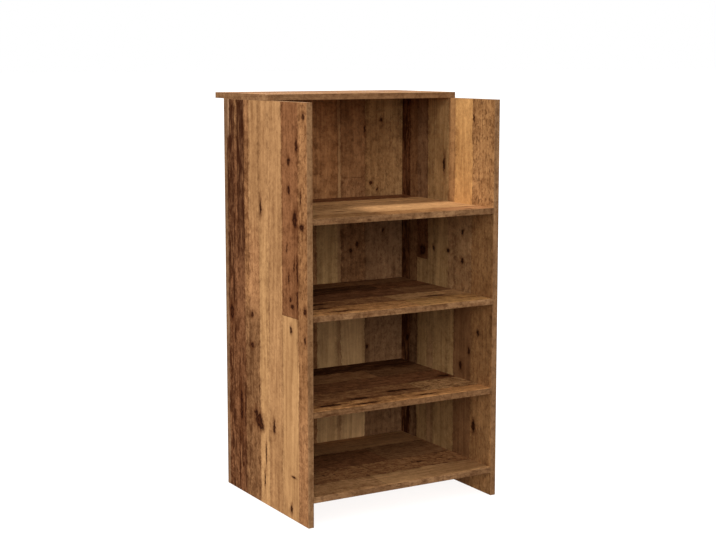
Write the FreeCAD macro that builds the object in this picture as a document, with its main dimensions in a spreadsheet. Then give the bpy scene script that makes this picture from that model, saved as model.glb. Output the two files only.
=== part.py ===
"""Reception desk: a flat-pack cabinet of laminated boards, open towards the staff side.

Two full-height side panels carry a bottom and an upper shelf, a full back panel and a top
board that covers only the rear of the cabinet and overhangs the visitor side. Cam fittings
clamp these boards and dowels locate them. Two shelves in between rest on pegs. Front is -Y,
up is +Z, and the origin lies on the floor under the middle of the desk.
"""
import FreeCAD, Part
import os
import Sketcher

SIZES = (
    # Boards, all cut from one stock thickness
    ("desk_width", 550.0, "over the outer faces of the side panels"),
    ("panel_depth", 450.0, "side panel, front edge to rear edge"),
    ("board_thickness", 15.0, "every board"),
    ("top_setback", 200.0, "top board's front edge behind the panel fronts"),
    ("top_overhang", 50.0, "top board's rear edge past the panel rears"),
    ("bottom_shelf_level", 60.0, "floor to the underside of the bottom shelf"),
    ("bottom_clear_height", 194.0, "compartment on the bottom shelf"),
    ("lower_clear_height", 217.0, "compartment on the lower shelf"),
    ("middle_clear_height", 217.0, "compartment on the middle shelf"),
    ("upper_clear_height", 272.0, "compartment on the upper shelf"),
    ("band_thickness", 1.0, "edge band glued to a finished edge"),
    ("shelf_play", 0.5, "between a shelf on pegs and the boards round it"),
    # Where the fittings sit
    ("shelf_cam_depth", 110.0, "panel's front edge to the cams of a fixed shelf"),
    ("top_cam_inset", 50.0, "top board's front edge to its cams"),
    ("back_dowel_inset", 100.0, "back panel's end to the nearest dowel in its top edge"),
    ("peg_inset", 60.0, "shelf's front or rear edge to the nearest peg"),
    ("cam_inset", 34.0, "board's end to the axis of a cam in it"),
    ("hole_skin", 4.5, "board left behind a hole in its face"),
    ("hole_clearance", 0.1, "round a fitting in its hole"),
    ("end_clearance", 0.5, "past the end of a fitting in its hole"),
    # Wooden dowel
    ("dowel_diameter", 8.0, "dowel"),
    ("dowel_in_edge", 20.0, "length of a dowel that stands in a board's edge"),
    # Shelf peg, a round pin with a wedge that the shelf lies on
    ("peg_diameter", 5.0, "pin"),
    ("peg_width", 10.0, "wedge, along the panel"),
    ("peg_height", 8.0, "wedge, up the panel"),
    ("peg_reach", 10.0, "wedge, out from the panel at its top"),
    ("peg_heel", 3.0, "wedge, out from the panel at its foot"),
    # Cam bolt, screwed into a board's face
    ("bolt_diameter", 5.0, "shank"),
    ("bolt_head_diameter", 7.0, "head"),
    ("bolt_head_length", 3.5, "head"),
    # Cam disc, which turns to pull the bolt's head
    ("cam_chamber_play", 1.5, "chamber's radius past the head's"),
    ("cam_throw", 0.8, "chamber's axis off the disc's axis"),
    ("cam_wall", 1.7, "rim round the chamber where it is thinnest"),
    ("cam_floor", 0.7, "disc behind the chamber"),
    ("cam_slot_sweep", 235.0, "angle of the shank's slot round the rim, in degrees"),
    ("cam_running_gap", 0.3, "between the bolt and the cam"),
    ("cam_cross_length", 8.0, "screwdriver cross, end to end"),
    ("cam_cross_width", 1.6, "screwdriver cross, across one slot"),
    # Cover disc over a cam that faces into the upper compartment
    ("cover_lip", 1.5, "cover past the cam's rim"),
    ("cover_thickness", 0.5, "cover"),
)

doc = FreeCAD.newDocument("reception_desk")
sheet = doc.addObject("Spreadsheet::Sheet", "sizes")
for row, (alias, value, note) in enumerate(SIZES, start=1):
    sheet.set(f"A{row}", alias)
    sheet.set(f"B{row}", str(value))
    sheet.set(f"C{row}", note)
    sheet.setAlias(f"B{row}", alias)
doc.recompute()

X_AXIS = FreeCAD.Vector(1, 0, 0)
Y_AXIS = FreeCAD.Vector(0, 1, 0)
Z_AXIS = FreeCAD.Vector(0, 0, 1)
# Sketch sizes before the sheet's own values take over
DRAFT_SIZE = 10.0
DRAFT_RADIUS = 1.0
# Two points closer than this, in millimetres, are one point
SAME_POINT = 1e-6

# Expressions that several pieces share
ZERO = "0"
BOARD = "sizes.board_thickness"
BAND = "sizes.band_thickness"
WIDTH = "sizes.desk_width"
DEPTH = "sizes.panel_depth"
LEFT = f"(-{WIDTH} / 2)"
FRONT = f"(-({DEPTH} + sizes.top_overhang) / 2)"
INNER_LEFT = f"({LEFT} + {BOARD})"
INNER_WIDTH = f"({WIDTH} - 2 * {BOARD})"
INNER_RIGHT = f"({INNER_LEFT} + {INNER_WIDTH})"
SHELF_DEPTH = f"({DEPTH} - {BOARD})"
TOP_FRONT = "sizes.top_setback"
TOP_DEPTH = f"({DEPTH} - {TOP_FRONT} + sizes.top_overhang)"
MID_BOARD = f"({BOARD} / 2)"
BOTTOM_LEVEL = "sizes.bottom_shelf_level"
LOWER_LEVEL = f"({BOTTOM_LEVEL} + {BOARD} + sizes.bottom_clear_height)"
MIDDLE_LEVEL = f"({LOWER_LEVEL} + {BOARD} + sizes.lower_clear_height)"
UPPER_LEVEL = f"({MIDDLE_LEVEL} + {BOARD} + sizes.middle_clear_height)"
HEIGHT = f"({UPPER_LEVEL} + {BOARD} + sizes.upper_clear_height)"
FIXED_SHELVES = (("bottom", BOTTOM_LEVEL), ("upper", UPPER_LEVEL))
LOOSE_SHELVES = (("lower", LOWER_LEVEL), ("middle", MIDDLE_LEVEL))
# The back panel stands on the level of the bottom shelf
BACK_HEIGHT = f"({HEIGHT} - {BOTTOM_LEVEL})"

parts = []


def new_body(label):
    """Start a body and find its origin planes by their roles."""
    body = doc.addObject("PartDesign::Body", label)
    body.Label = label
    return body, {feature.Role: feature for feature in body.Origin.OriginFeatures}


def attach(feature, plane, offset):
    """Lay a sketch or primitive on an origin plane, moved by three expressions in its own axes."""
    feature.AttachmentSupport = [(plane, "")]
    feature.MapMode = "FlatFace"
    for axis, expression in zip("xyz", offset):
        feature.setExpression(f"AttachmentOffset.Base.{axis}", expression)


def place(piece, corner):
    """Tie a piece's position in the desk to three expressions."""
    for axis, expression in zip("xyz", corner):
        piece.setExpression(f"Placement.Base.{axis}", expression)


def dimension(sketch, constraint, name, expression):
    """Add a dimension to a sketch and tie it to the sheet."""
    index = sketch.addConstraint(constraint)
    sketch.renameConstraint(index, name)
    sketch.setExpression(f"Constraints.{name}", expression)


def rectangle(sketch, width, height):
    """Draw a rectangle from the sketch's origin, sized by two expressions."""
    corners = [FreeCAD.Vector(x, y, 0) * DRAFT_SIZE for x, y in ((0, 0), (1, 0), (1, 1), (0, 1))]
    for index, corner in enumerate(corners):
        sketch.addGeometry(Part.LineSegment(corner, corners[(index + 1) % 4]))
    for index in range(4):
        sketch.addConstraint(Sketcher.Constraint("Coincident", index, 2, (index + 1) % 4, 1))
    for index, direction in enumerate(("Horizontal", "Vertical", "Horizontal", "Vertical")):
        sketch.addConstraint(Sketcher.Constraint(direction, index))
    sketch.addConstraint(Sketcher.Constraint("Coincident", 0, 1, -1, 1))
    dimension(sketch, Sketcher.Constraint("DistanceX", 0, 1, 0, 2, DRAFT_SIZE), "width", width)
    dimension(sketch, Sketcher.Constraint("DistanceY", 1, 1, 1, 2, DRAFT_SIZE), "height", height)


def sawn(label, corner, low, size):
    """Saw a board or strip, from low to low + size past the corner that places it in the desk."""
    body, planes = new_body(label)
    outline = body.newObject("Sketcher::SketchObject", f"{label}_outline")
    attach(outline, planes["XY_Plane"], low)
    rectangle(outline, size[0], size[1])
    pad = body.newObject("PartDesign::Pad", f"{label}_pad")
    pad.Profile = outline
    pad.setExpression("Length", size[2])
    place(body, corner)
    doc.recompute()
    parts.append(body)
    return body


def edge_band(label, corner, low, size, along, outward):
    """Cut an edge band and break the two long arrises of its outer face by half its thickness."""
    body = sawn(label, corner, low, size)
    strip = body.Tip
    outer_level = max(vertex.Point.dot(outward) for vertex in strip.Shape.Vertexes)
    arrises = []
    for index, edge in enumerate(strip.Shape.Edges, start=1):
        start, end = (vertex.Point for vertex in edge.Vertexes)
        is_long = abs((end - start).dot(along)) > SAME_POINT
        is_outer = min(start.dot(outward), end.dot(outward)) > outer_level - SAME_POINT
        if is_long and is_outer:
            arrises.append(f"Edge{index}")
    chamfer = body.newObject("PartDesign::Chamfer", f"{label}_chamfer")
    chamfer.Base = (strip, arrises)
    chamfer.setExpression("Size", f"{BAND} / 2")
    doc.recompute()
    return body


def drill(body, name, plane, level, deeper, spots, radius, depth):
    """Drill round holes square to an origin plane, starting at a level along its normal.

    deeper is +1 where the holes run along the plane's normal and -1 where they run against it.
    """
    volume_before = body.Shape.Volume
    planes = {feature.Role: feature for feature in body.Origin.OriginFeatures}
    marks = body.newObject("Sketcher::SketchObject", f"{body.Label}_{name}_marks")
    attach(marks, planes[plane], (ZERO, ZERO, level))
    for index, (across, along) in enumerate(spots):
        centre = FreeCAD.Vector(index + 1, 1, 0) * DRAFT_SIZE
        marks.addGeometry(Part.Circle(centre, Z_AXIS, DRAFT_RADIUS))
        sideways = Sketcher.Constraint("DistanceX", -1, 1, index, 3, centre.x)
        upwards = Sketcher.Constraint("DistanceY", -1, 1, index, 3, centre.y)
        dimension(marks, sideways, f"across_{index}", across)
        dimension(marks, upwards, f"along_{index}", along)
        dimension(marks, Sketcher.Constraint("Radius", index, DRAFT_RADIUS), f"radius_{index}", radius)
    holes = body.newObject("PartDesign::Pocket", f"{body.Label}_{name}")
    holes.Profile = marks
    holes.Reversed = deeper > 0
    holes.setExpression("Length", depth)
    doc.recompute()
    if body.Shape.Volume >= volume_before:
        raise RuntimeError(f"{body.Label}: the {name} holes cut nothing")


def primitive(body, plane, kind, name, offset, sizes):
    """Add or cut a primitive on one of a body's origin planes, with every size tied to the sheet."""
    feature = body.newObject(f"PartDesign::{kind}", f"{body.Label}_{name}")
    attach(feature, plane, offset)
    for size, expression in sizes.items():
        feature.setExpression(size, expression)
    doc.recompute()


def fitted(label, master, spots):
    """Fit copies of one fitting at (x, y, z, rotation) spots, as one node of separate solids."""
    copies = []
    for index, (x, y, z, rotation) in enumerate(spots):
        copy = doc.addObject("App::Link", f"{label}_{index}")
        copy.LinkedObject = master
        copy.Placement = FreeCAD.Placement(FreeCAD.Vector(), rotation)
        place(copy, (x, y, z))
        copies.append(copy)
    group = doc.addObject("Part::Compound", label)
    group.Label = label
    group.Links = copies
    parts.append(group)


# Where the fittings sit: depths behind the panel fronts, places along the inner width, and heights
SHELF_CAM_DEPTH = "sizes.shelf_cam_depth"
TOP_CAM_DEPTH = f"({TOP_FRONT} + sizes.top_cam_inset)"
PEG_DEPTHS = ("sizes.peg_inset", f"({SHELF_DEPTH} - sizes.peg_inset)")
BACK_DOWEL_DEPTH = f"({SHELF_DEPTH} + {MID_BOARD})"
SHELF_CAM_PLACES = ("sizes.cam_inset", f"({INNER_WIDTH} - sizes.cam_inset)")
SHELF_DOWEL_PLACE = f"({INNER_WIDTH} / 2)"
BACK_DOWEL_PLACES = ("sizes.back_dowel_inset", f"({INNER_WIDTH} - sizes.back_dowel_inset)")
TOP_CAM_HEIGHT = f"({HEIGHT} - sizes.cam_inset)"
PEG_DROP = "(sizes.peg_height / 2)"

# Fittings and the holes that match them
CLEARANCE = "sizes.hole_clearance"
FACE_HOLE_DEPTH = f"({BOARD} - sizes.hole_skin)"
IN_FACE = f"({FACE_HOLE_DEPTH} - sizes.end_clearance)"
DOWEL_RADIUS = "(sizes.dowel_diameter / 2)"
DOWEL_HOLE = f"({DOWEL_RADIUS} + {CLEARANCE})"
DOWEL_EDGE_DEPTH = "(sizes.dowel_in_edge + sizes.end_clearance)"
PEG_HOLE = f"(sizes.peg_diameter / 2 + {CLEARANCE})"
PILOT_HOLE = f"(sizes.bolt_diameter / 2 + {CLEARANCE})"
HEAD_RADIUS = "(sizes.bolt_head_diameter / 2)"
BOLT_HOLE = f"({HEAD_RADIUS} + sizes.cam_running_gap)"
CHAMBER_RADIUS = f"({HEAD_RADIUS} + sizes.cam_chamber_play)"
CHAMBER_HEIGHT = f"(2 * {BOLT_HOLE})"
CAM_RADIUS = f"({CHAMBER_RADIUS} + sizes.cam_throw + sizes.cam_wall)"
CAM_HEIGHT = f"({MID_BOARD} + {CHAMBER_HEIGHT} / 2 + sizes.cam_floor)"
CAM_BORE = f"({CAM_RADIUS} + {CLEARANCE})"
CAM_BORE_DEPTH = f"({CAM_HEIGHT} + sizes.end_clearance)"


def mid_height(level):
    """Height of the fittings in the ends of a shelf, from the level of its underside."""
    return f"({level} + {MID_BOARD})"


def drill_top_edge(body):
    """Drill the bolt hole into the top edge of a side panel, or through the band on it."""
    drill(body, "bolt", "XY_Plane", HEIGHT, -1, [(MID_BOARD, TOP_CAM_DEPTH)], BOLT_HOLE, "sizes.cam_inset")


def side_panel(side, corner_x, inner_face, deeper):
    """Make one side panel with the drillings of its inner face and top edge, and its four bands."""
    corner = (corner_x, FRONT, ZERO)
    body_depth = f"({DEPTH} - 2 * {BAND})"
    body_height = f"({HEIGHT} - 2 * {BAND})"
    panel = sawn(f"{side}_side_panel", corner, (ZERO, BAND, BAND), (BOARD, body_depth, body_height))
    pilots = [(SHELF_CAM_DEPTH, mid_height(level)) for _, level in FIXED_SHELVES]
    pegs = [(depth, f"({level} - {PEG_DROP})") for _, level in LOOSE_SHELVES for depth in PEG_DEPTHS]
    cams = [(TOP_CAM_DEPTH, TOP_CAM_HEIGHT)]
    drill(panel, "pilot", "YZ_Plane", inner_face, deeper, pilots, PILOT_HOLE, FACE_HOLE_DEPTH)
    drill(panel, "peg", "YZ_Plane", inner_face, deeper, pegs, PEG_HOLE, FACE_HOLE_DEPTH)
    drill(panel, "cam", "YZ_Plane", inner_face, deeper, cams, CAM_BORE, CAM_BORE_DEPTH)
    drill_top_edge(panel)
    rear = f"({DEPTH} - {BAND})"
    top = f"({HEIGHT} - {BAND})"
    upright = (BOARD, BAND, HEIGHT)
    level = (BOARD, body_depth, BAND)
    edge_band(f"{side}_panel_front_band", corner, (ZERO, ZERO, ZERO), upright, Z_AXIS, -Y_AXIS)
    edge_band(f"{side}_panel_rear_band", corner, (ZERO, rear, ZERO), upright, Z_AXIS, Y_AXIS)
    edge_band(f"{side}_panel_bottom_band", corner, (ZERO, BAND, ZERO), level, Y_AXIS, -Z_AXIS)
    drill_top_edge(edge_band(f"{side}_panel_top_band", corner, (ZERO, BAND, top), level, Y_AXIS, Z_AXIS))


def shelf(name, level, play):
    """Make one shelf, clear of the boards round it by its play, and its front band."""
    corner = (f"({INNER_LEFT} + {play})", FRONT, level)
    width = f"({INNER_WIDTH} - 2 * {play})"
    body_depth = f"({SHELF_DEPTH} - {BAND} - {play})"
    board = sawn(f"{name}_shelf", corner, (ZERO, BAND, ZERO), (width, body_depth, BOARD))
    band = (width, BAND, BOARD)
    edge_band(f"{name}_shelf_front_band", corner, (ZERO, ZERO, ZERO), band, X_AXIS, -Y_AXIS)
    return board


def fixed_shelf(name, level):
    """Make a shelf with its cam bores, the bolt holes in its ends and the dowel hole in its rear edge."""
    board = shelf(name, level, ZERO)
    cams = [(along, SHELF_CAM_DEPTH) for along in SHELF_CAM_PLACES]
    bolts = [(SHELF_CAM_DEPTH, MID_BOARD)]
    dowels = [(SHELF_DOWEL_PLACE, MID_BOARD)]
    drill(board, "cam", "XY_Plane", ZERO, 1, cams, CAM_BORE, CAM_BORE_DEPTH)
    drill(board, "left_bolt", "YZ_Plane", ZERO, 1, bolts, BOLT_HOLE, "sizes.cam_inset")
    drill(board, "right_bolt", "YZ_Plane", INNER_WIDTH, -1, bolts, BOLT_HOLE, "sizes.cam_inset")
    drill(board, "dowel", "XZ_Plane", f"-{SHELF_DEPTH}", 1, dowels, DOWEL_HOLE, DOWEL_EDGE_DEPTH)


def back_panel():
    """Make the back panel between the side panels, with its dowel holes and the band on its lower edge."""
    corner = (INNER_LEFT, f"({FRONT} + {SHELF_DEPTH})", BOTTOM_LEVEL)
    body_height = f"({BACK_HEIGHT} - {BAND})"
    panel = sawn("back_panel", corner, (ZERO, ZERO, BAND), (INNER_WIDTH, BOARD, body_height))
    shelves = [(SHELF_DOWEL_PLACE, f"({mid_height(level)} - {BOTTOM_LEVEL})") for _, level in FIXED_SHELVES]
    tops = [(along, MID_BOARD) for along in BACK_DOWEL_PLACES]
    drill(panel, "shelf_dowel", "XZ_Plane", ZERO, -1, shelves, DOWEL_HOLE, FACE_HOLE_DEPTH)
    drill(panel, "top_dowel", "XY_Plane", BACK_HEIGHT, -1, tops, DOWEL_HOLE, DOWEL_EDGE_DEPTH)
    band = (INNER_WIDTH, BOARD, BAND)
    edge_band("back_panel_bottom_band", corner, (ZERO, ZERO, ZERO), band, X_AXIS, -Z_AXIS)


def top_board():
    """Make the top board with the drillings of its underside and a band on each of its four edges."""
    corner = (LEFT, f"({FRONT} + {TOP_FRONT})", HEIGHT)
    body_width = f"({WIDTH} - 2 * {BAND})"
    body_depth = f"({TOP_DEPTH} - 2 * {BAND})"
    board = sawn("top_board", corner, (BAND, BAND, ZERO), (body_width, body_depth, BOARD))
    over_panels = (MID_BOARD, f"({WIDTH} - {MID_BOARD})")
    pilots = [(across, f"({TOP_CAM_DEPTH} - {TOP_FRONT})") for across in over_panels]
    dowel_line = f"({BACK_DOWEL_DEPTH} - {TOP_FRONT})"
    dowels = [(f"({BOARD} + {along})", dowel_line) for along in BACK_DOWEL_PLACES]
    drill(board, "pilot", "XY_Plane", ZERO, 1, pilots, PILOT_HOLE, FACE_HOLE_DEPTH)
    drill(board, "dowel", "XY_Plane", ZERO, 1, dowels, DOWEL_HOLE, FACE_HOLE_DEPTH)
    lengthwise = (WIDTH, BAND, BOARD)
    endwise = (BAND, body_depth, BOARD)
    rear = f"({TOP_DEPTH} - {BAND})"
    right = f"({WIDTH} - {BAND})"
    edge_band("top_board_front_band", corner, (ZERO, ZERO, ZERO), lengthwise, X_AXIS, -Y_AXIS)
    edge_band("top_board_rear_band", corner, (ZERO, rear, ZERO), lengthwise, X_AXIS, Y_AXIS)
    edge_band("top_board_left_band", corner, (ZERO, BAND, ZERO), endwise, Y_AXIS, -X_AXIS)
    edge_band("top_board_right_band", corner, (right, BAND, ZERO), endwise, Y_AXIS, X_AXIS)


def dowel():
    """Make a dowel along X, with the board's face that it stands in at X = 0."""
    body, planes = new_body("dowel")
    primitive(body, planes["YZ_Plane"], "AdditiveCylinder", "rod", (ZERO, ZERO, f"-{IN_FACE}"),
              {"Radius": DOWEL_RADIUS, "Height": f"{IN_FACE} + sizes.dowel_in_edge"})
    return body


def shelf_peg():
    """Make a shelf peg along X, with the panel's face at X = 0 and the shelf's underside at Z = 0."""
    body, planes = new_body("shelf_peg")
    across_panel = planes["YZ_Plane"]
    primitive(body, across_panel, "AdditiveCylinder", "pin", (ZERO, f"-{PEG_DROP}", f"-{IN_FACE}"),
              {"Radius": "sizes.peg_diameter / 2", "Height": IN_FACE})
    half_width = "sizes.peg_width / 2"
    primitive(body, across_panel, "AdditiveWedge", "wedge", (ZERO, ZERO, ZERO),
              {"Xmin": f"-{half_width}", "Xmax": half_width, "X2min": f"-{half_width}", "X2max": half_width,
               "Ymin": "-sizes.peg_height", "Ymax": ZERO,
               "Zmin": ZERO, "Zmax": "sizes.peg_heel", "Z2min": ZERO, "Z2max": "sizes.peg_reach"})
    return body


def cam_bolt():
    """Make a cam bolt along X, screwed into a face at X = 0, its head drawn to the chamber's wall."""
    body, planes = new_body("cam_bolt")
    across = planes["YZ_Plane"]
    wall_reach = f"sqrt({CHAMBER_RADIUS} ^ 2 - {HEAD_RADIUS} ^ 2)"
    head_start = f"(sizes.cam_inset + sizes.cam_throw - {wall_reach} + sizes.cam_running_gap)"
    primitive(body, across, "AdditiveCylinder", "shank", (ZERO, ZERO, f"-{IN_FACE}"),
              {"Radius": "sizes.bolt_diameter / 2", "Height": f"{IN_FACE} + {head_start}"})
    primitive(body, across, "AdditiveCylinder", "head", (ZERO, ZERO, head_start),
              {"Radius": HEAD_RADIUS, "Height": "sizes.bolt_head_length"})
    return body


def cam_disc():
    """Make a cam disc along Z, its face at Z = 0 and its bolt coming in from -X through the shank's slot.

    The chamber for the bolt's head lies off the disc's axis, so turning the disc draws the head in.
    """
    body, planes = new_body("cam_disc")
    base = planes["XY_Plane"]
    outside = f"2 * {CAM_RADIUS}"
    slot_height = "(sizes.bolt_diameter + 2 * sizes.cam_running_gap)"
    slot_floor = f"({MID_BOARD} - {slot_height} / 2)"
    chamber_floor = f"({MID_BOARD} - {CHAMBER_HEIGHT} / 2)"
    primitive(body, base, "AdditiveCylinder", "disc", (ZERO, ZERO, ZERO),
              {"Radius": CAM_RADIUS, "Height": CAM_HEIGHT})
    primitive(body, base, "SubtractiveCylinder", "chamber", ("sizes.cam_throw", ZERO, chamber_floor),
              {"Radius": CHAMBER_RADIUS, "Height": CHAMBER_HEIGHT})
    primitive(body, base, "SubtractiveCylinder", "shank_slot", (ZERO, ZERO, slot_floor),
              {"Radius": outside, "Height": slot_height, "Angle": "sizes.cam_slot_sweep"})
    primitive(body, base, "SubtractiveBox", "head_entry", (ZERO, f"-{CHAMBER_HEIGHT} / 2", chamber_floor),
              {"Length": outside, "Width": CHAMBER_HEIGHT, "Height": CHAMBER_HEIGHT})
    half_length = "sizes.cam_cross_length / 2"
    half_width = "sizes.cam_cross_width / 2"
    cross_depth = f"{chamber_floor} / 2"
    primitive(body, base, "SubtractiveBox", "cross_long", (f"-{half_length}", f"-{half_width}", ZERO),
              {"Length": "sizes.cam_cross_length", "Width": "sizes.cam_cross_width", "Height": cross_depth})
    primitive(body, base, "SubtractiveBox", "cross_wide", (f"-{half_width}", f"-{half_length}", ZERO),
              {"Length": "sizes.cam_cross_width", "Width": "sizes.cam_cross_length", "Height": cross_depth})
    return body


def cam_cover():
    """Make a cover disc along X, its back on the board's face at X = 0."""
    body, planes = new_body("cam_cover")
    primitive(body, planes["YZ_Plane"], "AdditiveCylinder", "disc", (ZERO, ZERO, ZERO),
              {"Radius": f"{CAM_RADIUS} + sizes.cover_lip", "Height": "sizes.cover_thickness"})
    return body


side_panel("left", LEFT, BOARD, -1)
side_panel("right", INNER_RIGHT, ZERO, 1)
for shelf_name, shelf_level in FIXED_SHELVES:
    fixed_shelf(shelf_name, shelf_level)
for shelf_name, shelf_level in LOOSE_SHELVES:
    shelf(shelf_name, shelf_level, "sizes.shelf_play")
back_panel()
top_board()

a_dowel = dowel()
a_peg = shelf_peg()
a_bolt = cam_bolt()
a_cam = cam_disc()
a_cover = cam_cover()

# A fitting points along +X from the left panel, along -X from the right panel, forwards from the back panel
# and down from the top board
FROM_LEFT = FreeCAD.Rotation()
FROM_RIGHT = FreeCAD.Rotation(Z_AXIS, 180)
FROM_BACK = FreeCAD.Rotation(Z_AXIS, -90)
FROM_TOP = FreeCAD.Rotation(Y_AXIS, 90)
ENDS = ((INNER_LEFT, "+", FROM_LEFT), (INNER_RIGHT, "-", FROM_RIGHT))
# A cam in a side panel faces into the desk and takes its bolt from above
IN_LEFT_PANEL = FreeCAD.Rotation(-Z_AXIS, -Y_AXIS, -X_AXIS, "XYZ")
IN_RIGHT_PANEL = FreeCAD.Rotation(-Z_AXIS, Y_AXIS, X_AXIS, "XYZ")


def behind_front(depth):
    """Place along Y of something at a depth behind the panel fronts."""
    return f"{FRONT} + {depth}"


for shelf_name, shelf_level in FIXED_SHELVES:
    cam_line = behind_front(SHELF_CAM_DEPTH)
    fitted(f"{shelf_name}_shelf_cam_bolts", a_bolt,
           [(x, cam_line, mid_height(shelf_level), turn) for x, _, turn in ENDS])
    fitted(f"{shelf_name}_shelf_cam_discs", a_cam,
           [(f"{x} {inward} sizes.cam_inset", cam_line, shelf_level, turn) for x, inward, turn in ENDS])
shelf_dowel_x = f"{INNER_LEFT} + {SHELF_DOWEL_PLACE}"
shelf_rear = behind_front(SHELF_DEPTH)
fitted("shelf_dowels", a_dowel,
       [(shelf_dowel_x, shelf_rear, mid_height(level), FROM_BACK) for _, level in FIXED_SHELVES])
for shelf_name, shelf_level in LOOSE_SHELVES:
    fitted(f"{shelf_name}_shelf_pegs", a_peg,
           [(x, behind_front(depth), shelf_level, turn) for x, _, turn in ENDS for depth in PEG_DEPTHS])

panel_middles = (f"{LEFT} + {MID_BOARD}", f"{INNER_RIGHT} + {MID_BOARD}")
top_cam_line = behind_front(TOP_CAM_DEPTH)
fitted("top_board_cam_bolts", a_bolt, [(x, top_cam_line, HEIGHT, FROM_TOP) for x in panel_middles])
fitted("top_board_cam_discs", a_cam, [
    (INNER_LEFT, top_cam_line, TOP_CAM_HEIGHT, IN_LEFT_PANEL),
    (INNER_RIGHT, top_cam_line, TOP_CAM_HEIGHT, IN_RIGHT_PANEL),
])
fitted("top_board_cam_covers", a_cover, [(x, top_cam_line, TOP_CAM_HEIGHT, turn) for x, _, turn in ENDS])
top_dowel_line = behind_front(BACK_DOWEL_DEPTH)
fitted("top_board_dowels", a_dowel,
       [(f"{INNER_LEFT} + {along}", top_dowel_line, HEIGHT, FROM_TOP) for along in BACK_DOWEL_PLACES])

doc.recompute()
for item in doc.Objects:
    if "Invalid" in item.State or "Error" in item.State:
        raise RuntimeError(f"{item.Label} failed: {item.State}")
for piece in parts:
    if piece.Shape.isNull() or not piece.Shape.isValid() or not piece.Shape.Solids:
        raise RuntimeError(f"{piece.Label} has no valid solid")

os.makedirs("parts", exist_ok=True)
for piece in parts:
    piece.Shape.exportStep(f"parts/{piece.Label}.step")
print(f"{len(parts)} nodes, {sum(len(piece.Shape.Solids) for piece in parts)} solids")
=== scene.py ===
import math

import bpy
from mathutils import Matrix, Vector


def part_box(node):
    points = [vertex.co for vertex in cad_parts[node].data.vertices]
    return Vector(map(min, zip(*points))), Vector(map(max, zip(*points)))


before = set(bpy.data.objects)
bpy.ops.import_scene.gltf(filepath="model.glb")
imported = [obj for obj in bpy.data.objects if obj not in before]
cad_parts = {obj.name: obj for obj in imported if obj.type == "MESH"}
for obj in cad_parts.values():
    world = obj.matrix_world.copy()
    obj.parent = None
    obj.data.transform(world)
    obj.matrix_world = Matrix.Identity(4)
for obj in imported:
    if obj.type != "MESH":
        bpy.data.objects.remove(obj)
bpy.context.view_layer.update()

bpy.ops.object.select_all(action="DESELECT")


# Side panels
# Two full-height particle boards faced with a melamine paper that is printed with upright reclaimed planks.
# They stand on the floor, carry the shelves and the top board, and the print runs along their height.

def stain(red, green, blue):
    """A printed tone, given from 0 to 255 as a screen shows it, as the linear colour that a shader takes."""
    shares = (red / 255, green / 255, blue / 255)
    return tuple(s / 12.92 if s <= 0.04045 else ((s + 0.055) / 1.055) ** 2.4 for s in shares) + (1.0,)


class Value:
    """A value in a finish's nodes: arithmetic on it adds Math nodes."""

    def __init__(self, finish, socket):
        self.finish = finish
        self.socket = socket

    def math(self, operation, *operands):
        return self.finish.node("Math", {"operation": operation}, dict(enumerate(operands)))

    def __add__(self, other):
        return self.math("ADD", self, other)

    __radd__ = __add__

    def __sub__(self, other):
        return self.math("SUBTRACT", self, other)

    def __rsub__(self, other):
        return self.math("SUBTRACT", other, self)

    def __mul__(self, other):
        return self.math("MULTIPLY", self, other)

    __rmul__ = __mul__

    def __abs__(self):
        return self.math("ABSOLUTE", self)

    def __lt__(self, other):
        return self.math("LESS_THAN", self, other)

    def sine(self):
        return self.math("SINE", self)

    def least(self, other):
        return self.math("MINIMUM", self, other)

    def most(self, other):
        return self.math("MAXIMUM", self, other)

    def spread(self, low, high):
        """0 at low and 1 at high, in a straight line."""
        return self.finish.node("MapRange", {}, {"Value": self, "From Min": low, "From Max": high})

    def ease(self, low, high):
        """0 at low and 1 at high, with soft ends."""
        return self.finish.node("MapRange", {"interpolation_type": "SMOOTHSTEP"},
                                {"Value": self, "From Min": low, "From Max": high})

    def part(self, name):
        """Another output of the same node."""
        return Value(self.finish, self.socket.node.outputs[name])


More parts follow.
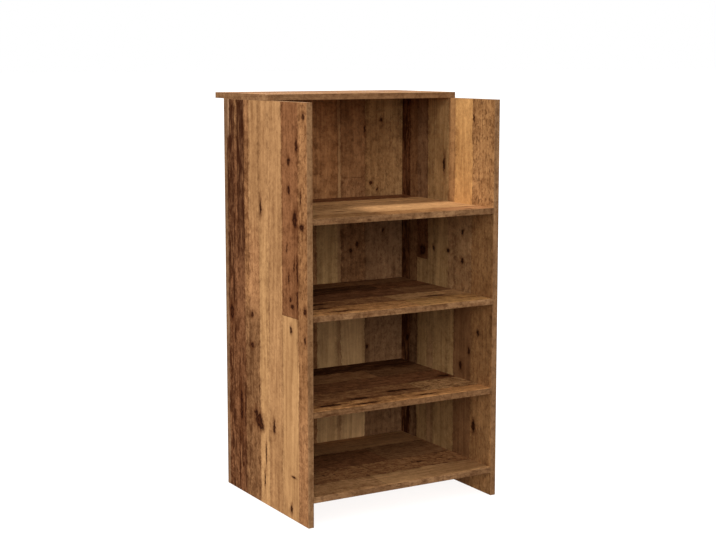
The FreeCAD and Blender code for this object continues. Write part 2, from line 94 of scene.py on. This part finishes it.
class Finish:
    """The nodes of a material, or of the studio's light, made one by one."""

    def __init__(self, holder):
        self.holder = holder
        holder.use_nodes = True
        self.tree = holder.node_tree
        self.tree.nodes.clear()

    def node(self, kind, settings, sockets, output=0):
        made = self.tree.nodes.new("ShaderNode" + kind)
        for name, setting in settings.items():
            if name == "stops":
                ramp = made.color_ramp.elements
                while len(ramp) < len(setting):
                    ramp.new(1.0)
                for stop, (position, colour) in zip(ramp, setting):
                    stop.position = position
                    stop.color = colour
            elif name == "between_stops":
                made.color_ramp.interpolation = setting
            else:
                setattr(made, name, setting)
        for name, value in sockets.items():
            if isinstance(value, Value):
                self.tree.links.new(value.socket, made.inputs[name])
            else:
                made.inputs[name].default_value = value
        return Value(self, made.outputs[output]) if len(made.outputs) else None

    # A Mix node has like-named sockets for numbers and for colours, so its colours are found by number.
    FIRST_COLOUR = 6
    SECOND_COLOUR = 7
    MIXED_COLOUR = 2

    def mix(self, share, first, second, blend="MIX"):
        return self.node("Mix", {"data_type": "RGBA", "blend_type": blend},
                         {0: share, self.FIRST_COLOUR: first, self.SECOND_COLOUR: second}, self.MIXED_COLOUR)

    def tint(self, colour, factors):
        """A colour made darker or lighter by a factor for each of its primaries."""
        return self.mix(1.0, colour, factors + (1.0,), "MULTIPLY")

    def split(self, colour):
        """The three numbers that a colour carries."""
        red = self.node("SeparateColor", {}, {"Color": colour}, "Red")
        return red, red.part("Green"), red.part("Blue")

    def dot(self, place, weights):
        return self.node("VectorMath", {"operation": "DOT_PRODUCT"}, {0: place, 1: weights}, "Value")

    def noise(self, place, scale, detail, offset, roughness=0.55, distortion=0.0):
        """Noise with about scale spots in a metre along each axis. Another offset gives another pattern."""
        shifted = self.node("Mapping", {}, {"Vector": place, "Scale": scale,
                                            "Location": (offset, offset, offset)})
        return self.node("TexNoise", {}, {"Vector": shifted, "Scale": 1.0, "Detail": detail,
                                          "Roughness": roughness, "Distortion": distortion})

    def surface(self, sockets):
        shader = self.node("BsdfPrincipled", {}, sockets)
        self.node("OutputMaterial", {}, {"Surface": shader})
        return self.holder


HONEY = stain(191, 144, 97)
PALE_TAN = stain(184, 138, 92)
TAN = stain(175, 129, 86)
ROUGH_TAN = stain(168, 119, 79)
OAK = stain(156, 109, 70)
UMBER = stain(138, 97, 63)
RUSSET = stain(133, 87, 55)
CHESTNUT = stain(124, 81, 52)
WEATHERED = stain(132, 98, 70)
ASHEN = stain(158, 121, 92)
BARK = stain(96, 60, 37)
PALE_BARK = stain(110, 69, 43)

# How a length of plank has aged: its share of dark speckles, of coarse mottling and of furrowed bark.
CLEAR = (0.05, 0.12, 0.0, 1.0)
STREAKED = (0.12, 0.28, 0.0, 1.0)
MOTTLED = (0.35, 0.5, 0.0, 1.0)
FLECKED = (0.45, 0.45, 0.0, 1.0)
DAPPLED = (0.7, 0.6, 0.0, 1.0)
SPECKLED = (1.0, 0.75, 0.0, 1.0)
RAGGED = (0.5, 0.7, 0.3, 1.0)
BARKED = (0.5, 0.9, 1.0, 1.0)

# A butt joint is sharp, a long fade has no seam, and a joint that isn't there lies far past the board.
SHARP_FADE = 0.0005
SEAMLESS_FADE = 0.01
NO_JOINT = 9.0


def plank(start, *lengths, joints=(), fade=SHARP_FADE):
    """One printed plank: where it starts across the board, the tone and age of up to three lengths along it,
    and the joints between them. With a long fade the lengths run into each other, as on one plank."""
    lengths = (lengths + lengths[-1:] * 2)[:3]
    return {"start": start, "fade": fade, "joints": (tuple(joints) + (NO_JOINT, NO_JOINT))[:2],
            "tones": [tone for tone, age in lengths], "ages": [age for tone, age in lengths]}


def lay_planks(finish, u, v, span, run, planks):
    """Planks side by side within span, each with its lengths along run. Gives the tone and age at a point and
    how far the point is from the plank's edges and from its butt joints."""
    width = span[1] - span[0]
    spare = 0.1  # past both ends, so that a missing joint lies off the board
    length = run[1] - run[0] + 2 * spare
    share = (u - span[0]) * (1 / width)
    stretch = (v - run[0] + spare) * (1 / length)
    edges = [max(0.0, (p["start"] - span[0]) / width) for p in planks] + [1.0]

    def by_plank(colours):
        return finish.node("ValToRGB", {"stops": list(zip(edges, colours)), "between_stops": "CONSTANT"},
                           {"Fac": share}, "Color")

    def joint_share(place):
        return min((place - run[0] + spare) / length, 1.0)

    near, far, fade = finish.split(by_plank(
        [(a, b, p["fade"], 1.0) for a, b, p in zip(edges, edges[1:], planks)]))
    lower, upper, _ = finish.split(by_plank(
        [(joint_share(p["joints"][0]), joint_share(p["joints"][1]), 0.0, 1.0) for p in planks]))
    past_lower = (stretch - lower) * length
    past_upper = (stretch - upper) * length

    def by_length(what):
        first, second, third = (by_plank([p[what][i] for p in planks]) for i in range(3))
        both = finish.mix(past_lower.ease(fade * -1, fade), first, second)
        return finish.mix(past_upper.ease(fade * -1, fade), both, third)

    from_edge = (share - near).least(far - share) * width
    seamless = 1 - (fade < SEAMLESS_FADE)
    from_joint = abs(past_lower).least(abs(past_upper)) + seamless
    return by_length("tones"), by_length("ages"), from_edge, from_joint


def nearest_mark(finish, u, v, marks):
    """How far a point is from the nearest knot or check: 0 at its middle, 1 at its rim."""
    flat = finish.node("CombineXYZ", {}, {"X": u, "Y": v, "Z": 0.0})
    nearest = None
    for at_u, at_v, half_width, half_length in marks:
        moved = finish.node("Mapping", {}, {"Vector": flat, "Scale": (1 / half_width, 1 / half_length, 1.0),
                                            "Location": (-at_u / half_width, -at_v / half_length, 0.0)})
        away = finish.node("VectorMath", {"operation": "LENGTH"}, {0: moved}, "Value")
        nearest = away if nearest is None else nearest.least(away)
    return nearest


FURROW_BROWN = stain(54, 23, 7)
GRAZED_WOOD = stain(158, 110, 72)
GRIME_BROWN = stain(64, 30, 10)
KNOT_HALO = stain(94, 52, 26)
KNOT_CORE = stain(34, 8, 3)
SEAM_REACH = 0.0022
GRIME_REACH = 0.016
PRINT_RELIEF = 0.0005

# How fine each part of the figure is, in spots in a metre: across the planks, along them and through them.
STREAKS = (125, 4.5, 30)
FIBRES = (700, 22, 30)
MOTTLING = (44, 40, 30)
GROWTH = (9, 0.9, 10)
DRIFTS = (10, 2.4, 30)
WAVES = (7, 9, 1)
TATTERS = (60, 90, 1)
FLECKS = (100, 95, 30)
FLAKES = (120, 110, 30)
FURROWS = (60, 10, 30)
GRAZES = (130, 12, 30)
SPOTS = (165, 70, 30)
BLOTS = (58, 36, 30)
CRACKS = (120, 1.6, 30)

# What the figure does to the red, green and blue of a plank's tone.
DRIFT_DARK = (0.84, 0.81, 0.78)
DRIFT_PALE = (1.13, 1.14, 1.15)
FIGURE_DARK = (0.50, 0.42, 0.36)
FIGURE_PALE = (1.42, 1.48, 1.48)
FLECK_DARK = (0.40, 0.31, 0.26)

# How far the edges of planks, their butt joints and the rims of knots sway and fray.
EDGE_SWAY = 0.012
EDGE_FRAY = 0.010
JOINT_SWAY = 0.006
JOINT_FRAY = 0.004
KNOT_SWAY = 0.010
KNOT_FRAY = 0.012

# The ring pattern's angle from the slowest growth to the fastest, and from a knot's middle to its rim.
GROWTH_ANGLE = 64
KNOT_ANGLE = 8


def old_wood(name, across, along, span, run, planks, marks=(), seed=0.0):
    """The printed face of a board. span and run are its limits across and along the planks, and marks are
    knots and checks, each with its place across and along and half its width and length."""
    finish = Finish(bpy.data.materials.new(name))
    place = finish.node("TexCoord", {}, {}, "Object")
    u = finish.dot(place, across)
    v = finish.dot(place, along)
    through = tuple(max(0, 1 - a - b) for a, b in zip(across, along))
    grain = finish.node("CombineXYZ", {}, {"X": u, "Y": v, "Z": finish.dot(place, through)})

    def figure(scale, offset, **settings):
        return finish.noise(grain, scale, offset=seed + offset, **settings)

    # The figure: long streaks, fibres, weathered mottling, growth rings, and slow drifts of the tone.
    streak = figure(STREAKS, offset=1.3, detail=5, roughness=0.6, distortion=0.5).spread(0.34, 0.66)
    fibre = figure(FIBRES, offset=5.1, detail=2).spread(0.3, 0.7)
    worn = figure(MOTTLING, offset=9.7, detail=8, roughness=0.75, distortion=0.3).spread(0.36, 0.64)
    rings = (figure(GROWTH, offset=7.7, detail=2) * GROWTH_ANGLE).sine() * 0.5 + 0.5
    drift = figure(DRIFTS, offset=15.2, detail=3).spread(0.34, 0.66)

    # The planks, with slightly uneven edges.
    sway = figure(WAVES, offset=4.4, detail=2) - 0.5
    fray = figure(TATTERS, offset=6.2, detail=3) - 0.5
    uneven_u = u + sway * EDGE_SWAY + fray * EDGE_FRAY
    uneven_v = v + sway * JOINT_SWAY + fray * JOINT_FRAY
    tone, age, from_edge, from_joint = lay_planks(finish, uneven_u, uneven_v, span, run, planks)
    speckle, coarse, bark = finish.split(age)
    tone = finish.mix(drift, finish.tint(tone, DRIFT_DARK), finish.tint(tone, DRIFT_PALE))

    # Light and dark of the figure: fine streaks on smooth planks, mottling on rough ones.
    smooth = streak * 0.24 + fibre * 0.06 + worn * 0.1 + rings * 0.18 + 0.21
    rough = streak * 0.22 + fibre * 0.08 + worn * 0.7
    shade = smooth + (rough - smooth) * coarse
    shade = (0.5 + (shade - 0.5) * (1.2 + coarse * 0.5)).spread(0.0, 1.0)
    pale = finish.tint(tone, FIGURE_PALE)
    colour = finish.mix(shade, finish.tint(tone, FIGURE_DARK), pale)

    # Rough-sawn flecks, pale flakes, and on bark-dark planks black-brown furrows with paler grazes.
    fleck = figure(FLECKS, offset=2.9, detail=3, roughness=0.62).ease(0.53, 0.64)
    flake = figure(FLAKES, offset=12.6, detail=3, roughness=0.62).ease(0.55, 0.65)
    furrow = figure(FURROWS, offset=3.6, detail=8, roughness=0.74, distortion=0.6).ease(0.47, 0.55) * bark
    graze = figure(GRAZES, offset=20.5, detail=4, roughness=0.62, distortion=0.4).ease(0.54, 0.65) * bark
    colour = finish.mix(fleck * (0.04 + coarse * 0.62), colour, finish.tint(tone, FLECK_DARK))
    colour = finish.mix(flake * (0.03 + coarse * 0.5 - bark * 0.35), colour, pale)
    colour = finish.mix(furrow * 0.85, colour, FURROW_BROWN)
    colour = finish.mix(graze * 0.62, colour, GRAZED_WOOD)

    # Dark speckles, hair cracks along the grain, the seams between planks, and grime beside the seams.
    spot = figure(SPOTS, offset=11.9, detail=2).ease(0.57, 0.66) * speckle
    blot = figure(BLOTS, offset=14.1, detail=3, roughness=0.6, distortion=0.4).ease(0.60, 0.68) * speckle
    crack = 1 - abs(figure(CRACKS, offset=18.3, detail=3) - 0.5).ease(0.0, 0.014)
    crack = crack * worn.ease(0.45, 0.9)
    long_seam = (1 - from_edge.ease(0.0, SEAM_REACH)) * (1.1 - drift)
    seam = long_seam.most(1 - from_joint.ease(0.0, SEAM_REACH))
    grime = (1 - from_edge.ease(0.0, GRIME_REACH)) * worn.ease(0.75, 0.1) * (0.15 + coarse * 0.6)
    dark = (spot * 0.8).most(blot * 0.8).most(seam * 0.5).most(crack * 0.45).most(grime)
    colour = finish.mix(dark, colour, GRIME_BROWN)

    # Knots and drying checks, each at its own place, with a brown halo round a dark, ringed core.
    height = shade * 0.6 + fibre * 0.2 - spot * 0.3 - seam * 0.6 - furrow * 0.5 - crack * 0.4
    roughness = 0.78 - shade * 0.14
    if marks:
        nearest = nearest_mark(finish, u + fray * KNOT_FRAY, v + sway * KNOT_SWAY, marks) + (worn - 0.5) * 0.5
        core = 1 - nearest.ease(0.45, 1.15)
        heart = finish.mix((nearest * KNOT_ANGLE + worn * 2).sine() * 0.25 + 0.2, KNOT_CORE, KNOT_HALO)
        colour = finish.mix((1 - nearest.ease(0.5, 2.2)) * 0.6, colour, KNOT_HALO)
        colour = finish.mix(core * 0.95, colour, heart)
        height = height - core * 0.4
        roughness = roughness + core * 0.08
    relief = finish.node("Bump", {}, {"Strength": 0.35, "Distance": PRINT_RELIEF, "Height": height}, "Normal")
    return finish.surface({"Base Color": colour, "Roughness": roughness, "Normal": relief,
                           "Specular IOR Level": 0.02})


AXES = {"x": (1, 0, 0), "y": (0, 1, 0), "z": (0, 0, 1)}


def board_print(board, across, along, planks, marks, seed):
    """The print of one board from edge to edge, with the axes that lie across and along its planks."""
    low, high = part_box(board)
    i, j = "xyz".index(across), "xyz".index(along)
    return old_wood(board + "_print", AXES[across], AXES[along], (low[i], high[i]), (low[j], high[j]),
                    planks, marks, seed)


def face(material, *nodes):
    """Gives CAD pieces their finish."""
    for node in nodes:
        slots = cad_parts[node].data.materials
        slots.clear()
        slots.append(material)


left_print = board_print(
    "left_side_panel", "y", "z",
    [plank(-0.250, (ROUGH_TAN, FLECKED), (OAK, FLECKED), (OAK, DAPPLED), joints=(0.27, 0.52), fade=0.05),
     plank(-0.205, (HONEY, CLEAR), (RUSSET, MOTTLED), joints=(0.503,)),
     plank(-0.121, (TAN, STREAKED)),
     plank(-0.048, (PALE_TAN, STREAKED), (TAN, STREAKED), joints=(0.70,), fade=0.06),
     plank(0.003, (UMBER, RAGGED), (ROUGH_TAN, MOTTLED), (TAN, STREAKED), joints=(0.48, 0.70), fade=0.06),
     plank(0.058, (UMBER, RAGGED), (OAK, RAGGED), (ROUGH_TAN, MOTTLED), joints=(0.48, 0.92), fade=0.05),
     plank(0.083, (PALE_BARK, BARKED), (CHESTNUT, RAGGED), (BARK, BARKED), joints=(0.37, 0.62), fade=0.06),
     plank(0.126, (CHESTNUT, RAGGED), (UMBER, RAGGED), joints=(0.92,), fade=0.05),
     plank(0.141, (CHESTNUT, BARKED), (PALE_BARK, BARKED), (BARK, BARKED), joints=(0.38, 0.60), fade=0.08),
     plank(0.168, (PALE_BARK, BARKED), (BARK, BARKED), (ASHEN, STREAKED), joints=(0.50, 0.93), fade=0.03),
     plank(0.180, (WEATHERED, STREAKED))],
    marks=[(0.012, 0.212, 0.026, 0.022), (0.026, 0.226, 0.016, 0.016), (-0.002, 0.199, 0.016, 0.014),
           (-0.073, 0.213, 0.007, 0.022), (-0.189, 0.742, 0.014, 0.022), (-0.222, 0.726, 0.016, 0.010),
           (-0.006, 0.757, 0.007, 0.022), (-0.155, 0.877, 0.009, 0.011), (-0.158, 0.811, 0.008, 0.012),
           (-0.196, 0.921, 0.007, 0.018), (-0.233, 0.986, 0.007, 0.010), (-0.237, 0.528, 0.007, 0.010),
           (0.045, 0.479, 0.008, 0.009), (0.163, 0.466, 0.012, 0.026), (-0.164, 0.471, 0.006, 0.011),
           (-0.236, 0.455, 0.007, 0.012), (-0.163, 0.025, 0.007, 0.012), (-0.163, 0.546, 0.006, 0.008),
           (0.112, 0.230, 0.008, 0.060), (0.045, 0.400, 0.008, 0.009), (-0.028, 0.130, 0.003, 0.030),
           (-0.020, 0.062, 0.003, 0.022), (-0.176, 0.108, 0.010, 0.003), (-0.183, 0.627, 0.004, 0.014),
           (-0.174, 0.530, 0.010, 0.008), (-0.199, 0.620, 0.004, 0.036), (-0.198, 0.545, 0.004, 0.036),
           (-0.217, 0.793, 0.003, 0.018), (-0.155, 0.596, 0.004, 0.014), (-0.147, 0.668, 0.003, 0.016)],
    seed=0.0)
face(left_print, "left_side_panel")

GOLD = stain(192, 142, 88)
DRAB_TAN = stain(178, 139, 93)
DRAB_OAK = stain(168, 127, 87)
DULL_OAK = stain(164, 119, 76)
DULL_BROWN = stain(138, 101, 70)
right_print = board_print(
    "right_side_panel", "y", "z",
    [plank(-0.250, (DULL_OAK, FLECKED), (DULL_OAK, DAPPLED), joints=(0.70,), fade=0.05),
     plank(-0.154, (UMBER, STREAKED), (DRAB_OAK, MOTTLED), (GOLD, STREAKED), joints=(0.508, 0.741)),
     plank(-0.075, (DRAB_TAN, STREAKED), (DRAB_OAK, MOTTLED), (DULL_OAK, STREAKED), joints=(0.508, 0.741)),
     plank(-0.045, (DRAB_TAN, STREAKED)),
     plank(0.024, (DRAB_OAK, STREAKED), (DRAB_TAN, STREAKED), joints=(0.360,), fade=0.05),
     plank(0.055, (DRAB_TAN, STREAKED), (CHESTNUT, RAGGED), (DULL_BROWN, MOTTLED), joints=(0.583, 0.741)),
     plank(0.106, (DULL_BROWN, RAGGED), (UMBER, MOTTLED), joints=(0.420,), fade=0.04),
     plank(0.142, (PALE_BARK, BARKED))],
    marks=[(-0.158, 0.970, 0.005, 0.016), (-0.023, 0.847, 0.006, 0.024), (0.024, 0.617, 0.006, 0.008),
           (-0.045, 0.617, 0.006, 0.008), (-0.112, 0.673, 0.006, 0.010), (-0.112, 0.599, 0.007, 0.010),
           (-0.146, 0.365, 0.006, 0.013), (-0.109, 0.319, 0.008, 0.014), (0.155, 0.351, 0.011, 0.014),
           (-0.170, 0.166, 0.009, 0.020), (0.080, 0.606, 0.020, 0.018), (-0.186, 0.418, 0.007, 0.012)],
    seed=21.0)
face(right_print, "right_side_panel")


# Side panel edge bands
# A 1 mm strip in the boards' print, glued along each edge of both panels and trimmed with a small chamfer.
# Its print runs along the strip, a shade duller than the faces.

DULL_TAN = stain(147, 108, 74)
BEYOND_THE_DESK = (-2.0, 2.0)


def edge_band(name, across, along, seed, age=MOTTLED):
    """The print of an edge strip: one plank wider and longer than the desk, so that no seam falls on it."""
    endless_plank = plank(BEYOND_THE_DESK[0], (DULL_TAN, age))
    return old_wood(name, across, along, BEYOND_THE_DESK, BEYOND_THE_DESK, [endless_plank], seed=seed)


upright_band = edge_band("upright_band_print", across=(1, 1, 0), along=AXES["z"], seed=43.0)
level_band = edge_band("level_band_print", across=(1, 0, 1), along=AXES["y"], seed=51.0)
for side in ("left", "right"):
    face(upright_band, f"{side}_panel_front_band", f"{side}_panel_rear_band")
    face(level_band, f"{side}_panel_bottom_band", f"{side}_panel_top_band")


# Bottom and upper shelves
# Two fixed shelves of the same faced board, pulled tight between the side panels by cam fittings from below.
# Their planks run from side to side, and a strip closes only the front edge.

bottom_print = board_print(
    "bottom_shelf", "y", "x",
    [plank(-0.250, (TAN, MOTTLED), (HONEY, STREAKED), joints=(-0.05,)),
     plank(-0.160, (OAK, SPECKLED)),
     plank(-0.060, (RUSSET, RAGGED), (UMBER, MOTTLED), joints=(0.07,)),
     plank(0.070, (TAN, STREAKED))],
    marks=[(-0.11, 0.13, 0.005, 0.012), (0.02, -0.15, 0.010, 0.016)],
    seed=63.0)
face(bottom_print, "bottom_shelf")

PALE_HONEY = stain(204, 156, 105)
upper_print = board_print(
    "upper_shelf", "y", "x",
    [plank(-0.250, (DULL_OAK, MOTTLED), (ROUGH_TAN, STREAKED), joints=(0.12,)),
     plank(-0.180, (HONEY, STREAKED)),
     plank(-0.090, (PALE_TAN, MOTTLED), (HONEY, STREAKED), joints=(-0.02,)),
     plank(0.020, (PALE_HONEY, STREAKED)),
     plank(0.100, (RUSSET, RAGGED))],
    marks=[(-0.235, 0.19, 0.005, 0.012), (-0.13, -0.12, 0.006, 0.014)],
    seed=75.0)
face(upper_print, "upper_shelf")

shelf_band = edge_band("shelf_band_print", across=(0, 1, 1), along=AXES["x"], seed=87.0, age=RAGGED)
face(shelf_band, "bottom_shelf_front_band", "upper_shelf_front_band")


# Lower and middle shelves
# Two loose shelves that lie on four pegs each, cut half a millimetre clear of the panels all round.
# The same faced board, with a strip on the front edge.

AMBER = stain(208, 149, 94)
lower_print = board_print(
    "lower_shelf", "y", "x",
    [plank(-0.250, (AMBER, RAGGED), (AMBER, FLECKED), joints=(0.02,)),
     plank(-0.190, (OAK, RAGGED), (PALE_TAN, SPECKLED), joints=(0.10,)),
     plank(-0.090, (RUSSET, RAGGED)),
     plank(0.010, (OAK, MOTTLED), (UMBER, RAGGED), joints=(0.08,)),
     plank(0.100, (BARK, BARKED))],
    marks=[(-0.063, 0.235, 0.012, 0.022), (-0.207, -0.19, 0.010, 0.045), (-0.178, -0.09, 0.010, 0.034),
           (-0.230, -0.10, 0.006, 0.050), (-0.150, 0.04, 0.008, 0.050), (-0.222, 0.08, 0.006, 0.030)],
    seed=99.0)
face(lower_print, "lower_shelf")

middle_print = board_print(
    "middle_shelf", "y", "x",
    [plank(-0.250, (AMBER, RAGGED), (GOLD, FLECKED), joints=(0.05,)),
     plank(-0.150, (OAK, RAGGED), (PALE_TAN, MOTTLED), joints=(0.04,)),
     plank(-0.070, (CHESTNUT, RAGGED), (UMBER, MOTTLED), joints=(0.12,)),
     plank(0.030, (BARK, BARKED), (RUSSET, RAGGED), joints=(0.10,)),
     plank(0.110, (UMBER, MOTTLED))],
    marks=[(-0.105, -0.17, 0.010, 0.045), (0.02, -0.12, 0.008, 0.034), (-0.160, -0.20, 0.008, 0.050),
           (-0.215, -0.16, 0.006, 0.040), (-0.130, 0.16, 0.007, 0.040)],
    seed=111.0)
face(middle_print, "middle_shelf")
face(shelf_band, "lower_shelf_front_band", "middle_shelf_front_band")


# Back panel
# A full-thickness board between the side panels on the visitors' side, with upright planks on both faces.
# It stiffens the desk, and only its lower end, which shows under the bottom shelf, has a strip.

OLIVE = stain(190, 149, 103)
PALE_OLIVE = stain(197, 156, 110)
DRAB_RUSSET = stain(142, 100, 66)
OLIVE_OAK = stain(150, 111, 72)
back_print = board_print(
    "back_panel", "x", "z",
    [plank(-0.260, (DULL_BROWN, SPECKLED)),
     plank(-0.205, (TAN, STREAKED), (HONEY, CLEAR), joints=(0.45,)),
     plank(-0.130, (BARK, BARKED), (RUSSET, RAGGED), joints=(0.62,)),
     plank(-0.080, (OAK, MOTTLED)),
     plank(-0.013, (OLIVE, CLEAR), (DRAB_TAN, STREAKED), (OAK, MOTTLED), joints=(0.50, 0.74)),
     plank(0.052, (DRAB_OAK, CLEAR)),
     plank(0.062, (PALE_OLIVE, CLEAR), (DRAB_RUSSET, RAGGED), (UMBER, MOTTLED), joints=(0.508, 0.80)),
     # This plank's paler length above 0.96 is painted light: the print is lightened where the top board
     # shades the upper back panel.
     plank(0.140, (DULL_BROWN, FLECKED), (OLIVE_OAK, FLECKED), (DRAB_TAN, FLECKED),
           joints=(0.741, 0.96), fade=0.02)],
    marks=[(0.146, 0.328, 0.006, 0.008), (0.113, 0.619, 0.005, 0.009), (0.094, 0.601, 0.005, 0.008),
           (0.198, 0.652, 0.005, 0.008), (0.158, 0.783, 0.005, 0.006), (0.178, 0.765, 0.004, 0.006),
           (0.139, 0.929, 0.003, 0.012), (0.191, 0.955, 0.005, 0.006), (-0.16, 0.70, 0.008, 0.014),
           (-0.05, 0.30, 0.008, 0.010)],
    seed=123.0)
face(back_print, "back_panel")
back_band = edge_band("back_band_print", across=(0, 1, 1), along=AXES["x"], seed=135.0)
face(back_band, "back_panel_bottom_band")


# Top board
# The counter: a faced board that lies on the side panels and the back panel and juts out to the visitors.
# Its planks run from side to side, and all four edges are closed with strips.

top_print = board_print(
    "top_board", "y", "x",
    [plank(-0.050, (TAN, STREAKED), (HONEY, CLEAR), joints=(0.06,)),
     plank(0.005, (ROUGH_TAN, SPECKLED), (OAK, MOTTLED), joints=(-0.08,)),
     plank(0.070, (HONEY, CLEAR), (TAN, STREAKED), joints=(0.13,)),
     plank(0.130, (RUSSET, RAGGED), (UMBER, MOTTLED), joints=(0.02,)),
     plank(0.190, (TAN, STREAKED))],
    marks=[(0.03, 0.16, 0.006, 0.014), (0.155, -0.11, 0.010, 0.018), (0.10, -0.19, 0.004, 0.020)],
    seed=147.0)
face(top_print, "top_board")
top_long_band = edge_band("top_long_band_print", across=(0, 1, 1), along=AXES["x"], seed=159.0)
top_short_band = edge_band("top_short_band_print", across=(1, 0, 1), along=AXES["y"], seed=171.0)
face(top_long_band, "top_board_front_band", "top_board_rear_band")
face(top_short_band, "top_board_left_band", "top_board_right_band")


# Dowels
# Turned beech pins, glued into one board's edge and the next board's face, that keep the boards in line.
# Raw wood with fine pores and no varnish.

FITTING_RELIEF = 0.0002


def fitting_finish(name, deep, pale, fine_scale, roughness, metallic=0.0):
    """A plain material for a small fitting: a tone that drifts slowly between two, and a fine relief."""
    finish = Finish(bpy.data.materials.new(name))
    place = finish.node("TexCoord", {}, {}, "Object")
    cloud = finish.noise(place, (120, 120, 120), detail=3, offset=8.0).spread(0.3, 0.7)
    fine = finish.noise(place, fine_scale, detail=3, offset=3.0).spread(0.3, 0.7)
    relief = finish.node("Bump", {}, {"Strength": 0.2, "Distance": FITTING_RELIEF, "Height": fine}, "Normal")
    return finish.surface({"Base Color": finish.mix(cloud, deep, pale), "Roughness": roughness + fine * 0.15,
                           "Normal": relief, "Metallic": metallic})


raw_beech = fitting_finish("raw_beech", deep=stain(196, 152, 108), pale=stain(228, 193, 152),
                           fine_scale=(900, 900, 900), roughness=0.65)
face(raw_beech, "shelf_dowels", "top_board_dowels")


# Cam bolts and cam discs
# Zinc-plated steel bolts, screwed into the board that is clamped, with a shank and a head for the cam.
# Die-cast discs that turn in blind bores and draw the heads in, with a cross for the screwdriver.

plated_steel = fitting_finish("plated_steel", deep=stain(176, 178, 180), pale=stain(208, 207, 200),
                              fine_scale=(1400, 300, 300), roughness=0.24, metallic=1.0)
face(plated_steel, "bottom_shelf_cam_bolts", "upper_shelf_cam_bolts", "top_board_cam_bolts")
cast_zinc = fitting_finish("cast_zinc", deep=stain(138, 139, 142), pale=stain(172, 172, 172),
                           fine_scale=(1100, 1100, 1100), roughness=0.38, metallic=1.0)
face(cast_zinc, "bottom_shelf_cam_discs", "upper_shelf_cam_discs", "top_board_cam_discs")


# Cam covers
# Thin self-adhesive discs over the two cams under the top board, in the same print as the panels.
# They are laid so that the print runs on, and hardly show.

face(right_print, "top_board_cam_covers")


# Shelf pegs
# Moulded brown plastic pegs, pushed into bores in the side panels, with a flat that a loose shelf lies on.
# A fine moulded grain, slightly glossy.

peg_nylon = fitting_finish("peg_nylon", deep=stain(92, 64, 44), pale=stain(110, 78, 54),
                           fine_scale=(1500, 1500, 1500), roughness=0.36)
face(peg_nylon, "lower_shelf_pegs", "middle_shelf_pegs")


# Floor
# A plain white studio floor that runs out of sight on all sides.
# The camera sees it white, but it returns only a little light to the desk, as a dull floor would.

FLOOR_SIZE = 240.0
DUSTY_WHITE = (0.86, 0.86, 0.86, 1.0)
CLEAN_WHITE = (0.88, 0.88, 0.88, 1.0)
DULL_GREY = (0.255, 0.255, 0.255, 1.0)
bpy.ops.mesh.primitive_plane_add(size=FLOOR_SIZE, location=(0, 0, 0))
floor = bpy.context.object
floor.name = "floor"
chalk = Finish(bpy.data.materials.new("floor_white"))
place = chalk.node("TexCoord", {}, {}, "Object")
dust = chalk.noise(place, (3, 3, 3), detail=4, offset=2.0).spread(0.3, 0.7)
white = chalk.node("BsdfDiffuse", {}, {"Color": chalk.mix(dust, DUSTY_WHITE, CLEAN_WHITE)})
dull = chalk.node("BsdfDiffuse", {}, {"Color": DULL_GREY})
seen = chalk.node("LightPath", {}, {}, "Is Camera Ray")
chalk.node("OutputMaterial", {}, {"Surface": chalk.node("MixShader", {}, {0: seen, 1: dull, 2: white})})
floor.data.materials.append(chalk.holder)


# Light
# A soft lamp from the upper left, a broad one beside the camera, one from behind, and even light all round.
# The floor has a lamp of its own, so that the desk leaves only a faint shade on it.

desk_only = bpy.data.collections.new("desk_only")
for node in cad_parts.values():
    desk_only.objects.link(node)
floor_only = bpy.data.collections.new("floor_only")
floor_only.objects.link(floor)


def lamp(name, turns, power, width, lights):
    """A far lamp, with its turns about X, Y and Z and its width in degrees, and what it lights."""
    bpy.ops.object.light_add(type="SUN", rotation=[math.radians(turn) for turn in turns])
    made = bpy.context.object
    made.name = name
    made.data.energy = power
    made.data.angle = math.radians(width)
    made.light_linking.receiver_collection = lights
    return made


lamp("key_lamp", turns=(0, -38, 0), power=2.7, width=9, lights=desk_only)
lamp("fill_lamp", turns=(68, 0, -26), power=1.6, width=40, lights=desk_only)
lamp("rear_lamp", turns=(58, 0, 140), power=1.5, width=40, lights=desk_only)
floor_lamp = lamp("floor_lamp", turns=(0, 0, 0), power=3.2, width=0.5, lights=floor_only)
floor_lamp.light_linking.blocker_collection = floor_only

SKY_SEEN = 1.0
SKY_LIGHT = 0.42
sky = Finish(bpy.data.worlds.new("studio"))
seen = sky.node("LightPath", {}, {}, "Is Camera Ray")
glow = sky.node("Background", {}, {"Color": (1.0, 1.0, 1.0, 1.0),
                                   "Strength": SKY_LIGHT + seen * (SKY_SEEN - SKY_LIGHT)})
sky.node("OutputWorld", {}, {"Surface": glow})
bpy.context.scene.world = sky.holder


# Camera
# It stands to the front left, almost four metres off and a little above the counter, and looks slightly down.
# The lens is a short telephoto, and the shift is only what moves the desk to its place in the picture.

CAMERA_PLACE = (-1.8725, -3.2118, 1.1167)
LOOKS_DOWN = 7.682
LOOKS_RIGHT = 30.365
SENSOR_WIDTH = 36.0
LENS_LENGTH = 72.774
FRAMING_SHIFT = -0.02
bpy.ops.object.camera_add(location=CAMERA_PLACE,
                          rotation=(math.radians(90 - LOOKS_DOWN), 0, math.radians(-LOOKS_RIGHT)))
camera = bpy.context.object
camera.name = "camera"
camera.data.sensor_fit = "HORIZONTAL"
camera.data.sensor_width = SENSOR_WIDTH
camera.data.lens = LENS_LENGTH
camera.data.shift_y = FRAMING_SHIFT
camera.data.clip_end = 2 * FLOOR_SIZE
bpy.context.scene.camera = camera
bpy.context.scene.view_settings.view_transform = "Standard"
